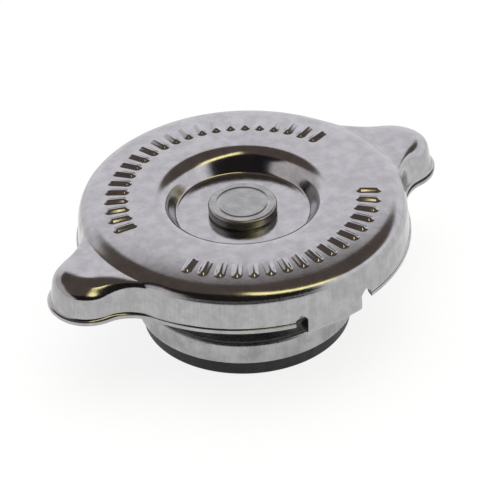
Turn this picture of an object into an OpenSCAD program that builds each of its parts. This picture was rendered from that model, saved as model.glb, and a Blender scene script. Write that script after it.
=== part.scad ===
// Pressed-steel radiator cap with two finger ears, a sprung pressure valve and a vacuum valve.
// The cap stands on its main gasket: Z = 0 is the gasket's underside, the ears lie along X.

/* [Outer cap] */
// Thickness of the pressed sheet
sheet_t = 0.8; // [0.6:0.1:1.0]
// Outside radius of the skirt just above its lip
skirt_r = 29.4; // [28:0.1:32]
// Height from the lip's lower edge to the crown
skirt_h = 8.5; // [7.8:0.1:9.4]
// Lean of the skirt wall from upright, in degrees
skirt_draft = 4; // [1:0.5:6]
// Radius of the bend from skirt to crown
rim_r = 3.2; // [2.4:0.1:4]
// Radius of the gently domed crown
crown_r = 85; // [60:5:140]
// Radius of the ring where the crown is highest
crown_mid_r = 17; // [15:0.5:19]
// How far the trimmed lip stands out from the skirt
lip_out = 0.6; // [0.4:0.1:1]
// Height of the lip's cut edge
lip_t = 0.7; // [0.5:0.1:0.8]
// Flat radius of the dish floor
dish_floor_r = 11.5; // [10:0.1:12.5]
// Width of the dish wall, from the floor to the crown
dish_wall_w = 4.1; // [3.6:0.1:4.8]
// Radius of the bend where the dish floor turns up into its wall
dish_foot_r = 1.7; // [1.2:0.1:2.2]
// Depth of the dish below the crown
dish_depth = 3.6; // [3:0.1:4.2]

/* [Ears] */
// Length of an ear beyond the skirt
ear_reach = 10.1; // [8:0.1:12]
// Half the width of an ear
ear_half_w = 6.65; // [5.5:0.05:8]
// Radius of the corners at an ear's end
ear_corner_r = 6.3; // [5.6:0.1:6.5]
// Radius of the hollow where an ear leaves the skirt
ear_fillet_r = 5; // [3:0.1:6]
// Growth of that radius with each millimetre that the ear's wall leans in
ear_fillet_growth = 1.6; // [1:0.1:1.8]
// Share of that lean by which the hollow moves in towards the crown
ear_base_lean = 0.35; // [0.3:0.05:0.6]
// Drop of an ear's top below the crown
ear_drop = 1.75; // [1.3:0.05:2.2]
// Lean of an ear's wall from upright, in degrees
ear_draft = 5; // [3:0.5:8]
// Radius of the bend from an ear's wall to its top
ear_round_r = 3.1; // [2.6:0.1:3.6]
// Radius of the dome over an ear
ear_dome_r = 7; // [5:0.5:9]

/* [Locking tabs] */
// Angle that one tab spans, in degrees
tab_span = 22.1; // [18:0.1:28]
// Turn of the tabs from square to the ears, in degrees
tab_turn = -1.55; // [-8:0.05:8]
// Depth of a tab below the skirt's lip
tab_drop = 2.4; // [1.6:0.1:3]
// Radial depth of a tab, from the skirt's outside
tab_depth = 3.2; // [2.6:0.1:4]
// Outside radius of the bend at the foot of a tab
tab_bend_r = 1.2; // [1:0.1:1.6]
// Width of the relief notch at each end of a tab
relief_w = 2.3; // [1.4:0.1:3]
// Height of the relief notch above the lip's lower edge
relief_h = 2.05; // [1.2:0.05:2.4]

/* [Rivet and swivel stack] */
// Radius of the rivet's shank
rivet_r = 3; // [2.5:0.1:3.5]
// Radius of the rivet's head
rivet_head_r = 6.1; // [5:0.1:7]
// Thickness of the rivet's head
rivet_head_t = 2; // [1.5:0.1:2.4]
// Radius of the shallow ring groove on the head
rivet_ring_r = 4.5; // [3.5:0.1:4.8]
// Free play above and below the swivelling dish floor
swivel_gap = 0.05; // [0.03:0.01:0.1]
// Radial running clearance of the rivet in the cap
swivel_clear = 0.06; // [0.04:0.01:0.1]
// Thickness of the friction washer under the dish
friction_t = 0.3; // [0.2:0.1:0.6]
// Radius of the friction washer
friction_r = 8; // [6:0.5:10]
// Thickness of the washer under the rivet's lower end
rivet_washer_t = 0.8; // [0.6:0.1:1.2]
// Radius of the washer under the rivet's lower end
rivet_washer_r = 7.5; // [6:0.5:9]
// Height of the rivet's upset lower end
rivet_upset_t = 1.1; // [0.8:0.1:1.6]

/* [Upper seal] */
// Thickness of the spring diaphragm
diaphragm_t = 0.4; // [0.3:0.05:0.6]
// Gap between the diaphragm's edge and the skirt's inside
diaphragm_gap = 2.8; // [2:0.1:4]
// Rise of the diaphragm's outer ring above its centre
diaphragm_rise = 1.2; // [0.8:0.1:1.6]
// Thickness of the upper gasket
upper_gasket_t = 1.2; // [0.8:0.1:1.8]
// Width of the upper gasket's ring
upper_gasket_w = 5.3; // [4:0.1:6.5]

/* [Bell housing] */
// Thickness of the bell's sheet
bell_t = 0.7; // [0.5:0.1:0.8]
// Height of the bell from its flange to its crown
bell_h = 14.4; // [13:0.1:17]
// Step from the valve cup's outside in to the bell's wall
bell_step = 4.4; // [4:0.1:5]
// Outside radius of the bell's crown edge
bell_edge_r = 1.6; // [1.2:0.1:2.2]
// Radius of the vent holes in the bell's wall
vent_r = 2.2; // [1.5:0.1:2.6]
// Number of vent holes
vent_count = 4; // [3:1:6]

/* [Pressure valve] */
// Outside radius of the valve cup, a loose fit in the filler throat
cup_r = 19.6; // [19:0.1:21]
// Thickness of the valve cup's sheet
cup_t = 0.7; // [0.5:0.1:0.8]
// Height of the valve cup's band
cup_h = 4.7; // [4.2:0.1:5.5]
// Outside radius of the cup's folded edges
cup_edge_r = 0.9; // [0.8:0.1:1.2]
// Gap beside the bell's flange inside the cup
cup_side_gap = 1; // [0.6:0.1:1.2]
// Gap between the cup's folded edge and the bell's wall
cup_fold_gap = 1.1; // [0.8:0.1:1.3]
// Rise of the cup's centre boss
boss_rise = 1.8; // [1.4:0.1:2.4]
// Height of the main gasket
gasket_h = 2.9; // [2.8:0.1:4]
// Step from the valve cup's outside in to the main gasket
gasket_inset = 1.1; // [0.8:0.1:1.8]
// Width of the main gasket's sealing bead
gasket_bead_w = 4.5; // [3.5:0.1:5.5]
// Thickness of the main gasket's clamped web
gasket_web_t = 1.4; // [1:0.1:1.8]
// Thickness of the gasket retainer
retainer_t = 0.8; // [0.6:0.1:1]
// Outside radius of the retainer's neck
retainer_neck_r = 7.4; // [6.8:0.1:8.2]
// Outside radius of the eyelet's tube
eyelet_r = 3.6; // [3.2:0.1:4]
// Wall of the eyelet
eyelet_t = 0.6; // [0.4:0.1:0.8]
// Radius of the eyelet's flanges
eyelet_flange_r = 5.2; // [4.8:0.1:5.8]
// Wire thickness of the main spring
main_wire = 1.8; // [1.4:0.1:2.2]
// Gap between the main spring and the bell's inside
main_spring_gap = 1.6; // [1:0.1:2.4]
// Open turns of the main spring
main_turns = 3; // [2:1:4]

/* [Vacuum valve] */
// Radius of the vacuum valve's disc
vacuum_disc_r = 5.8; // [5:0.1:6.2]
// Thickness of the vacuum valve's disc
vacuum_disc_t = 0.8; // [0.6:0.1:1]
// Radius of the vacuum valve's stem
vacuum_stem_r = 1.1; // [0.9:0.1:1.4]
// Thickness of the vacuum seal
vacuum_seal_t = 0.85; // [0.6:0.05:1]
// Free gap between closed seats and at spring ends
seat_gap = 0.05; // [0.02:0.01:0.1]
// Height of the vacuum spring
vacuum_spring_h = 5.1; // [4.5:0.1:6]
// Wire thickness of the vacuum spring
vacuum_wire = 0.5; // [0.4:0.1:0.6]
// Open turns of the vacuum spring
vacuum_turns = 3; // [2:1:4]
// Thickness of the spring collar
collar_t = 0.7; // [0.5:0.1:1]

/* [Hidden] */
$fn = 96;

// Radial clearance of a hole around a piece that stays put in it
hole_clear = 0.08;
// Length by which a cutter runs past the material it cuts
cut_past = 1;

// Heights, stacked from the main gasket's underside upwards
cup_z = gasket_h;
cup_top_z = cup_z + cup_h;
flange_top_z = cup_top_z - cup_t;
flange_z = flange_top_z - bell_t;
bell_top_z = flange_z + bell_h;
diaphragm_top_z = bell_top_z + diaphragm_t;
friction_top_z = diaphragm_top_z + friction_t;
floor_z = friction_top_z + swivel_gap + sheet_t;
crown_z = floor_z + dish_depth;
lip_z = crown_z - skirt_h;
flare_z = lip_z + lip_t + lip_out;
tab_z = lip_z - tab_drop;
ear_top_z = crown_z - ear_drop;
rivet_head_z = floor_z + swivel_gap;
rivet_washer_z = bell_top_z - bell_t - rivet_washer_t;
rivet_foot_z = rivet_washer_z - rivet_upset_t;
ring_z = bell_top_z + diaphragm_rise;
web_z = gasket_h - gasket_web_t;
retainer_z = web_z - retainer_t;
boss_z = cup_z + boss_rise;
boss_top_z = boss_z + cup_t;
eyelet_z = boss_z - retainer_t - eyelet_t;
eyelet_top_z = boss_top_z + eyelet_t;
seal_z = eyelet_z - seat_gap - vacuum_seal_t;
disc_z = seal_z - vacuum_disc_t;
collar_z = eyelet_top_z + vacuum_spring_h;
stem_top_z = collar_z + collar_t;

// Radii that follow from the driving sizes
diaphragm_r = skirt_r - sheet_t - diaphragm_gap;
upper_gasket_r = diaphragm_r - hole_clear;
upper_gasket_in_r = upper_gasket_r - upper_gasket_w;
bell_r = cup_r - bell_step;
flange_r = cup_r - cup_t - cup_side_gap;
fold_r = bell_r + cup_fold_gap;
gasket_r = cup_r - gasket_inset;
retainer_r = gasket_r - gasket_bead_w - hole_clear;
boss_in_r = retainer_neck_r + hole_clear;
main_coil_r = bell_r - bell_t - main_spring_gap - main_wire / 2;
vacuum_coil_r = (eyelet_r + eyelet_flange_r) / 2;
tab_in_r = skirt_r - tab_depth;

// Points of an arc about a centre, from one angle to another
function arc(centre, r, from, to, steps) =
    [for (i = [0 : steps])
        let (a = from + (to - from) * i / steps)
        centre + r * [cos(a), sin(a)]];

// A path moved sideways to its right by a distance, point by point
function shifted(path, by) =
    [for (i = [0 : len(path) - 1])
        let (before = path[max(i - 1, 0)], after = path[min(i + 1, len(path) - 1)])
        let (along = (after - before) / norm(after - before))
        path[i] + by * [along[1], -along[0]]];

function reversed(path) = [for (i = [len(path) - 1 : -1 : 0]) path[i]];

// Height of the domed crown at a radius
function crown_at(r) =
    crown_z - crown_r + sqrt(crown_r * crown_r - (r - crown_mid_r) * (r - crown_mid_r));

// Centre of the rim bend: it touches the leaning skirt wall and the inside of the crown's arc
crown_centre = [crown_mid_r, crown_z - crown_r];
wall_out = [cos(skirt_draft), sin(skirt_draft)];
wall_up = [-sin(skirt_draft), cos(skirt_draft)];
rim_start = [skirt_r, flare_z] - rim_r * wall_out - crown_centre;
rim_climb = sqrt(pow(rim_start * wall_up, 2) - rim_start * rim_start + pow(crown_r - rim_r, 2))
            - rim_start * wall_up;
rim_centre = crown_centre + rim_start + rim_climb * wall_up;
rim_end_angle = atan2(rim_centre[1] - crown_centre[1], rim_centre[0] - crown_centre[0]);

// Outside of the cap's section from the dish floor out over the crown and down the skirt;
// the dish wall is two bends that run into each other, a hollow one and a round one
dish_edge_r = dish_floor_r + dish_wall_w;
dish_edge_z = crown_at(dish_edge_r);
dish_slope = 2 * atan((dish_edge_z - floor_z) / dish_wall_w);
dish_brow_r = dish_wall_w / sin(dish_slope) - dish_foot_r;
dish_steps = 6;
crown_steps = 5;
rim_steps = 9;
top_path = concat(
    [[0, floor_z]],
    arc([dish_floor_r, floor_z + dish_foot_r], dish_foot_r, -90, dish_slope - 90, dish_steps),
    [for (i = [dish_steps - 1 : -1 : 0])
        let (a = 90 + dish_slope * i / dish_steps)
        [dish_edge_r, dish_edge_z - dish_brow_r] + dish_brow_r * [cos(a), sin(a)]],
    [for (i = [1 : crown_steps])
        let (rim_touch = crown_mid_r + crown_r * cos(rim_end_angle))
        let (r = dish_edge_r + (rim_touch - dish_edge_r) * i / crown_steps)
        [r, crown_at(r)]],
    [for (i = [1 : rim_steps])
        let (a = rim_end_angle + (skirt_draft - rim_end_angle) * i / rim_steps)
        rim_centre + rim_r * [cos(a), sin(a)]],
    [[skirt_r, flare_z]]);

// Inset and height of the lip's flare, from its cut edge up to the skirt
flare_steps = 4;
lip_path = [for (i = [0 : flare_steps])
    let (a = 90 * i / flare_steps)
    [lip_out * (sin(a) - 1), flare_z - lip_out * cos(a)]];

// Inset and height of the flare's inside, from the lip's lower edge nearly up to the skirt
mouth_r = lip_out + sheet_t;
mouth_start = acos((flare_z - lip_z) / mouth_r);
mouth_end = 75;
mouth_path = [for (i = [0 : flare_steps])
    let (a = mouth_start + (mouth_end - mouth_start) * i / flare_steps)
    [mouth_r * sin(a) - lip_out, flare_z - mouth_r * cos(a)]];
mouth_top_z = mouth_path[flare_steps][1];

// Inset and height of an ear's outside above its flare, or of a surface at a depth below it;
// the bend at its edge runs into a flatter dome
ear_round_steps = 5;
ear_dome_steps = 3;
ear_dome_from = 60;
ear_flatter = ear_dome_r - ear_round_r;
ear_bend_z = ear_top_z - ear_dome_r + ear_flatter * sin(ear_dome_from);
ear_bend_inset = (ear_bend_z + ear_round_r * sin(ear_draft) - flare_z) * tan(ear_draft)
                 + ear_round_r * cos(ear_draft);
ear_dome_inset = ear_bend_inset + ear_flatter * cos(ear_dome_from);
ear_dome_z = ear_bend_z - ear_flatter * sin(ear_dome_from);
function ear_section(depth) = concat(
    [for (i = [0 : ear_round_steps])
        let (a = ear_draft + (ear_dome_from - ear_draft) * i / ear_round_steps)
        let (r = ear_round_r - depth)
        [ear_bend_inset - r * cos(a), ear_bend_z + r * sin(a)]],
    [for (i = [1 : ear_dome_steps])
        let (a = ear_dome_from + (90 - ear_dome_from) * i / ear_dome_steps)
        let (r = ear_dome_r - depth)
        [ear_dome_inset - r * cos(a), ear_dome_z + r * sin(a)]]);
ear_path = ear_section(0);
ear_in_path = ear_section(sheet_t);

// Plan outline of an ear along +X, moved inwards by an inset; it is rooted inside the cap.
// The hollow's arc is sunk slightly into the skirt so that the two surfaces cross.
// The hollow's radius is kept short of the one that would meet the ear's end corner.
ear_sink = 0.25;
ear_root_share = 0.72;
ear_hollow_share = 0.98;
ear_root_x = ear_root_share * skirt_r;
ear_corner = [skirt_r + ear_reach - ear_corner_r, ear_half_w - ear_corner_r];
function ear_half(inset, lean) =
    let (base = skirt_r - ear_sink - (inset > 0 ? lean : 1) * inset, half_w = ear_half_w - inset)
    let (r_most = (pow(ear_corner[0], 2) - base * base + half_w * half_w) / (2 * (base - half_w)))
    let (r = min(ear_fillet_r + ear_fillet_growth * inset, ear_hollow_share * r_most))
    let (hollow = [sqrt(pow(base + r, 2) - pow(half_w + r, 2)), half_w + r])
    concat(
        arc(ear_corner, ear_corner_r - inset, 0, 90, 6),
        arc(hollow, r, 270, 180 + asin((half_w + r) / (base + r)), 6),
        [[ear_root_x, ear_half_w]]);
function ear_outline(inset, lean) = concat(
    ear_half(inset, lean),
    [for (p = reversed(ear_half(inset, lean))) [p[0], -p[1]]]);

// A solid skinned over outlines at rising heights; each layer is an inset and a height.
// Its flat ends are cut into strips that run across the ear.
module ear_skin(layers, lean) {
    outlines = [for (l = layers) [for (p = ear_outline(l[0], lean)) [p[0], p[1], l[1]]]];
    n = len(outlines[0]);
    points = [for (o = outlines) each o];
    sides = [for (i = [0 : len(layers) - 2], j = [0 : n - 1])
        let (a = i * n + j, b = i * n + (j + 1) % n)
        each [[a, a + n, b + n], [a, b + n, b]]];
    function across(start) = [for (j = [0 : n / 2 - 2])
        each [[start + j, start + j + 1, start + n - 2 - j],
              [start + j, start + n - 2 - j, start + n - 1 - j]]];
    top = [for (t = across((len(layers) - 1) * n)) reversed(t)];
    polyhedron(points, concat(across(0), sides, top));
}

module ring(r_in, r_out, z, h) {
    rotate_extrude()
        translate([r_in, z])
            square([r_out - r_in, h]);
}

// A coil spring with closed end turns, its wire's lowest and highest points at z and z + h
module coil_spring(coil_r, wire, z, h, turns) {
    sides = 8;
    steps = 24;
    closed_gap = 0.03;
    closed_rise = wire * (1 + closed_gap);
    open_pitch = (h - wire - 2 * closed_rise) / turns;
    rings = (turns + 2) * steps;
    function rise(t) = min(t, 1) * closed_rise
        + max(0, min(t - 1, turns)) * open_pitch
        + max(0, t - 1 - turns) * closed_rise;
    points = [for (i = [0 : rings], k = [0 : sides - 1])
        let (t = i / steps, a = 360 * k / sides + 180 / sides)
        let (r = coil_r + wire / 2 * cos(a))
        [r * cos(360 * t), r * sin(360 * t), z + wire / 2 + rise(t) + wire / 2 * sin(a)]];
    walls = [for (i = [0 : rings - 1], k = [0 : sides - 1])
        let (a = i * sides + k, b = i * sides + (k + 1) % sides)
        each [[a, b, b + sides], [a, b + sides, a + sides]]];
    start = [for (k = [sides - 1 : -1 : 0]) k];
    finish = [for (k = [0 : sides - 1]) rings * sides + k];
    polyhedron(points, concat([start], walls, [finish]));
}

// Section of the sheet inside the skirt and the tabs' feet, cut from the filled cap
module cap_hollow() {
    inside = shifted(top_path, sheet_t);
    foot_z = tab_z + sheet_t;
    foot_r = tab_bend_r - sheet_t;
    rotate_extrude()
        polygon(concat(
            [[0, floor_z - sheet_t]],
            [for (i = [1 : len(inside) - 2]) inside[i]],
            [[skirt_r - sheet_t, flare_z]],
            arc([skirt_r - tab_bend_r, foot_z + foot_r], foot_r, 0, -90, 4),
            [[tab_in_r, foot_z],
             [tab_in_r, tab_z - cut_past],
             [0, tab_z - cut_past]]));
}

// Angle from the middle of a tab to the middle of the notch beside it
tab_side = tab_span / 2 + asin(relief_w / 2 / skirt_r);

// Filled cap with the skirt run down to the tabs' feet all the way round;
// the lip ends halfway across the notches
module cap_filled() {
    rotate_extrude()
        polygon(concat(
            top_path,
            arc([skirt_r - tab_bend_r, tab_z + tab_bend_r], tab_bend_r, 0, -90, 5),
            [[0, tab_z]]));
    difference() {
        rotate_extrude()
            polygon(concat(
                [[skirt_r - sheet_t / 2, lip_z], [skirt_r + lip_out, lip_z]],
                [for (p = lip_path) [skirt_r - p[0], p[1]]],
                [[skirt_r - sheet_t / 2, flare_z]]));
        for (turn = [0, 180])
            rotate([0, 0, turn + tab_turn - 90])
                translate([0, 0, lip_z - cut_past])
                    linear_extrude(flare_z - lip_z + 2 * cut_past)
                        polygon(2 * skirt_r * [[0, 0],
                                               [cos(tab_side), -sin(tab_side)],
                                               [cos(tab_side), sin(tab_side)]]);
    }
}

// What is cut away below the lip between the tabs, with the flare's rounded inside;
// it ends halfway across the relief notches
module between_tabs() {
    for (turn = [0, 180])
        rotate([0, 0, turn + tab_turn + tab_side - 90])
            rotate_extrude(angle = 180 - 2 * tab_side)
                polygon(concat(
                    [for (p = mouth_path) [skirt_r - p[0], p[1]]],
                    [[tab_in_r - cut_past, mouth_top_z],
                     [tab_in_r - cut_past, tab_z - cut_past],
                     [skirt_r + lip_out + cut_past, tab_z - cut_past],
                     [skirt_r + lip_out + cut_past, lip_z]]));
}

// Pointed notches that free the two ends of each tab
module tab_reliefs() {
    notch_top = lip_z + relief_h;
    for (turn = [0, 180], side = [-1, 1])
        rotate([0, 0, turn + tab_turn - 90 + side * tab_span / 2])
            translate([tab_in_r - cut_past, side * relief_w / 2, 0])
                rotate([90, 0, 90])
                    linear_extrude(tab_depth + lip_out + 2 * cut_past)
                        polygon([[-relief_w / 2, tab_z - cut_past],
                                 [relief_w / 2, tab_z - cut_past],
                                 [relief_w / 2, notch_top - relief_w / 2],
                                 [0, notch_top],
                                 [-relief_w / 2, notch_top - relief_w / 2]]);
}

module outer_cap() {
    ear_outside = concat([[-lip_out, lip_z]], lip_path, ear_path);
    ear_inside = concat([[mouth_path[0][0], lip_z - cut_past]], mouth_path, ear_in_path);
    color("silver")
        difference() {
            union() {
                difference() {
                    cap_filled();
                    between_tabs();
                    tab_reliefs();
                }
                for (turn = [0, 180])
                    rotate([0, 0, turn]) ear_skin(ear_outside, ear_base_lean);
            }
            cap_hollow();
            for (turn = [0, 180])
                rotate([0, 0, turn]) ear_skin(ear_inside, 1);
            translate([0, 0, floor_z - sheet_t - cut_past])
                cylinder(r = rivet_r + swivel_clear, h = sheet_t + 2 * cut_past);
        }
}

module centre_rivet() {
    edge = 0.4;
    groove_w = 0.35;
    groove_d = 0.15;
    upset_w = 1.6;
    upset_r = rivet_r + upset_w;
    head_top = rivet_head_z + rivet_head_t;
    color("gainsboro")
        difference() {
            rotate_extrude()
                polygon(concat(
                    [[0, rivet_foot_z]],
                    [[upset_r - rivet_upset_t / 2, rivet_foot_z]],
                    [[upset_r, rivet_foot_z + rivet_upset_t / 2]],
                    [[upset_r, rivet_washer_z]],
                    [[rivet_r, rivet_washer_z]],
                    [[rivet_r, rivet_head_z]],
                    [[rivet_head_r - edge, rivet_head_z]],
                    [[rivet_head_r, rivet_head_z + edge]],
                    arc([rivet_head_r - edge, head_top - edge], edge, 0, 90, 4),
                    [[0, head_top]]));
            ring(rivet_ring_r - groove_w, rivet_ring_r, head_top - groove_d, groove_d + cut_past);
        }
}

module friction_washer() {
    color("goldenrod")
        ring(rivet_r + hole_clear, friction_r, diaphragm_top_z, friction_t);
}

module spring_diaphragm() {
    flat_past_dish = 0.2;
    ring_past_gasket = 1.6;
    flat_r = dish_floor_r + flat_past_dish;
    ring_r = upper_gasket_in_r - ring_past_gasket;
    section = [[rivet_r + hole_clear, bell_top_z],
               [flat_r, bell_top_z],
               [ring_r, ring_z],
               [diaphragm_r, ring_z]];
    color("lightsteelblue")
        rotate_extrude()
            polygon(concat(
                section,
                [for (p = reversed(section)) [p[0], p[1] + diaphragm_t]]));
}

module upper_gasket() {
    bead = 0.3;
    outside = upper_gasket_r;
    color("dimgray")
        rotate_extrude()
            polygon([[upper_gasket_in_r, ring_z],
                     [upper_gasket_in_r, ring_z - upper_gasket_t + bead],
                     [upper_gasket_in_r + bead, ring_z - upper_gasket_t],
                     [outside - bead, ring_z - upper_gasket_t],
                     [outside, ring_z - upper_gasket_t + bead],
                     [outside, ring_z]]);
}

module bell_housing() {
    foot_out_r = 0.6;
    foot_in_r = foot_out_r + bell_t;
    crown_in_r = bell_edge_r - bell_t;
    crown_centre_z = bell_top_z - bell_edge_r;
    vent_z = (flange_top_z + bell_top_z) / 2;
    first_vent = 45;
    color("darkgray")
        difference() {
            rotate_extrude()
                polygon(concat(
                    [[rivet_r + hole_clear, bell_top_z]],
                    arc([bell_r - bell_edge_r, crown_centre_z], bell_edge_r, 90, 0, 5),
                    arc([bell_r + foot_out_r, flange_top_z + foot_out_r], foot_out_r, 180, 270, 4),
                    [[flange_r, flange_top_z], [flange_r, flange_z]],
                    arc([bell_r + foot_out_r, flange_top_z + foot_out_r], foot_in_r, 270, 180, 4),
                    arc([bell_r - bell_edge_r, crown_centre_z], crown_in_r, 0, 90, 4),
                    [[rivet_r + hole_clear, bell_top_z - bell_t]]));
            for (i = [0 : vent_count - 1])
                rotate([0, 0, first_vent + 360 * i / vent_count])
                    translate([main_coil_r, 0, vent_z])
                        rotate([0, 90, 0])
                            cylinder(r = vent_r, h = bell_r);
        }
}

module rivet_washer() {
    color("silver")
        ring(rivet_r + hole_clear, rivet_washer_r, rivet_washer_z, rivet_washer_t);
}

module main_spring() {
    floor_top = cup_z + cup_t + seat_gap;
    color("slategray")
        coil_spring(main_coil_r, main_wire, floor_top,
                    bell_top_z - bell_t - seat_gap - floor_top, main_turns);
}

module valve_cup() {
    edge_in_r = cup_edge_r - cup_t;
    boss_out_r = boss_in_r + cup_t;
    low = [cup_r - cup_edge_r, cup_z + cup_edge_r];
    high = [cup_r - cup_edge_r, cup_top_z - cup_edge_r];
    color("lightgray")
        rotate_extrude()
            polygon(concat(
                [[eyelet_r + hole_clear, boss_z], [boss_in_r, boss_z], [boss_in_r, cup_z]],
                arc(low, cup_edge_r, 270, 360, 5),
                arc(high, cup_edge_r, 0, 90, 5),
                [[fold_r, cup_top_z], [fold_r, flange_top_z]],
                arc(high, edge_in_r, 90, 0, 3),
                arc(low, edge_in_r, 360, 270, 3),
                [[boss_out_r, cup_z + cup_t], [boss_out_r, boss_top_z]],
                [[eyelet_r + hole_clear, boss_top_z]]));
}

module main_gasket() {
    edge = 0.4;
    bead_in_r = gasket_r - gasket_bead_w;
    inside = retainer_neck_r + hole_clear;
    color("black")
        rotate_extrude()
            polygon(concat(
                [[inside, web_z], [bead_in_r, web_z], [bead_in_r, edge], [bead_in_r + edge, 0]],
                arc([gasket_r - edge, edge], edge, 270, 360, 4),
                [[gasket_r, gasket_h], [inside, gasket_h]]));
}

module gasket_retainer() {
    neck_in_r = retainer_neck_r - retainer_t;
    color("silver")
        rotate_extrude()
            polygon([[eyelet_r + hole_clear, boss_z],
                     [retainer_neck_r, boss_z],
                     [retainer_neck_r, web_z],
                     [retainer_r, web_z],
                     [retainer_r, retainer_z],
                     [neck_in_r, retainer_z],
                     [neck_in_r, boss_z - retainer_t],
                     [eyelet_r + hole_clear, boss_z - retainer_t]]);
}

module valve_eyelet() {
    bore = eyelet_r - eyelet_t;
    color("darkkhaki")
        rotate_extrude()
            polygon([[bore, eyelet_z],
                     [eyelet_flange_r, eyelet_z],
                     [eyelet_flange_r, eyelet_z + eyelet_t],
                     [eyelet_r, eyelet_z + eyelet_t],
                     [eyelet_r, boss_top_z],
                     [eyelet_flange_r, boss_top_z],
                     [eyelet_flange_r, eyelet_top_z],
                     [bore, eyelet_top_z]]);
}

module vacuum_valve() {
    dimple_r = 1.8;
    dimple_d = 0.4;
    edge = 0.25;
    tip_out = 0.5;
    tip_r = vacuum_stem_r + tip_out;
    tip_h = 0.6;
    color("goldenrod")
        rotate_extrude()
            polygon([[0, disc_z + dimple_d],
                     [dimple_r, disc_z],
                     [vacuum_disc_r - edge, disc_z],
                     [vacuum_disc_r, disc_z + edge],
                     [vacuum_disc_r, seal_z],
                     [vacuum_stem_r, seal_z],
                     [vacuum_stem_r, stem_top_z],
                     [tip_r, stem_top_z],
                     [vacuum_stem_r, stem_top_z + tip_h],
                     [0, stem_top_z + tip_h]]);
}

module vacuum_seal() {
    color("black")
        ring(vacuum_stem_r + hole_clear, eyelet_flange_r, seal_z, vacuum_seal_t);
}

module vacuum_spring() {
    color("silver")
        coil_spring(vacuum_coil_r, vacuum_wire, eyelet_top_z + seat_gap,
                    vacuum_spring_h - 2 * seat_gap, vacuum_turns);
}

module spring_collar() {
    color("goldenrod")
        ring(vacuum_stem_r + hole_clear, eyelet_flange_r, collar_z, collar_t);
}

outer_cap();
centre_rivet();
friction_washer();
spring_diaphragm();
upper_gasket();
bell_housing();
rivet_washer();
main_spring();
valve_cup();
main_gasket();
gasket_retainer();
valve_eyelet();
vacuum_valve();
vacuum_seal();
vacuum_spring();
spring_collar();
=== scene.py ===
# Radiator cap: dressed pieces, finishes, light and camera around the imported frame
import math

import bmesh
import bpy
import numpy as np
from mathutils import Matrix, Vector


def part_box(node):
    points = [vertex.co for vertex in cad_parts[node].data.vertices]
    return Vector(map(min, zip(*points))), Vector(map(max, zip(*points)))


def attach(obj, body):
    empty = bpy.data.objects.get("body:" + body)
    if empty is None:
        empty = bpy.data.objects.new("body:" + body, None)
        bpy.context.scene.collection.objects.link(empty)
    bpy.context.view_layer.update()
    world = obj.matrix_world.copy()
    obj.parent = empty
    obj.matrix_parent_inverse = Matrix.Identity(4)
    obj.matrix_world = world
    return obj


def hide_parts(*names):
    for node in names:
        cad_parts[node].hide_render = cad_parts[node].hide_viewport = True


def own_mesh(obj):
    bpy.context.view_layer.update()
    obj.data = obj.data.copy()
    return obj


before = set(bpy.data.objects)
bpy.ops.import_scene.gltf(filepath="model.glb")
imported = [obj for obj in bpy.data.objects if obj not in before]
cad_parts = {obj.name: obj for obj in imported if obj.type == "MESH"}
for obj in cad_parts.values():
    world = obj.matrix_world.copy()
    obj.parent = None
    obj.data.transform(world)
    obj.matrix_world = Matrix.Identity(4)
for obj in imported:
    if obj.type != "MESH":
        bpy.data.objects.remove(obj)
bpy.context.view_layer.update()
mm = 0.001  # the pieces are worked out in millimetres


def heights(node):  # lowest and highest z of a CAD node, in mm
    low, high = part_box(node)
    return low.z / mm, high.z / mm


def radius(node):  # outside radius of a turned CAD node, in mm
    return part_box(node)[1].x / mm


# Mesh helpers
def gridFaces(rows, cols, wrapRows, wrapCols):
    # quads between neighbours of a rows by cols grid, joined round where asked
    i = np.arange(rows if wrapRows else rows - 1)[:, None]
    j = np.arange(cols if wrapCols else cols - 1)[None, :]
    i, j = np.broadcast_arrays(i, j)
    down, across = (i + 1) % rows, (j + 1) % cols
    quads = [i * cols + j, i * cols + across, down * cols + across, down * cols + j]
    return np.stack(quads, -1).reshape(-1, 4)


def endFaces(rows, cols):
    # triangles from the first and last row of a grid to the two points that follow the grid
    first, last = np.arange(cols), np.arange(cols) + (rows - 1) * cols
    pole = np.full(cols, rows * cols)
    return np.vstack([np.column_stack([pole, np.roll(first, -1), first]),
                      np.column_stack([pole + 1, last, np.roll(last, -1)])])


def buildPiece(name, points, faces, sharpAngle=35):
    # points in mm and lists of faces; turned inside out where the enclosed volume is negative
    triangles = np.vstack([f[:, [0, k, k + 1]] for f in faces for k in range(1, f.shape[1] - 1)])
    a, b, c = (points[triangles[:, k]] for k in range(3))
    if np.einsum("ij,ij->i", a, np.cross(b, c)).sum() < 0:
        faces = [f[:, ::-1] for f in faces]
    mesh = bpy.data.meshes.new(name)
    mesh.from_pydata((points * mm).tolist(), [], [row for f in faces for row in f.tolist()])
    welded = bmesh.new()
    welded.from_mesh(mesh)
    bmesh.ops.remove_doubles(welded, verts=welded.verts, dist=1e-7)
    welded.to_mesh(mesh)
    welded.free()
    mesh.shade_smooth()
    mesh.set_sharp_from_angle(angle=math.radians(sharpAngle))
    piece = bpy.data.objects.new(name, mesh)
    bpy.context.scene.collection.objects.link(piece)
    return piece


def arc(centre, r, start, stop, steps):  # points of an arc, angles in degrees
    a = np.radians(np.linspace(start, stop, steps + 1))
    return np.column_stack([centre[0] + r * np.cos(a), centre[1] + r * np.sin(a)])


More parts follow.
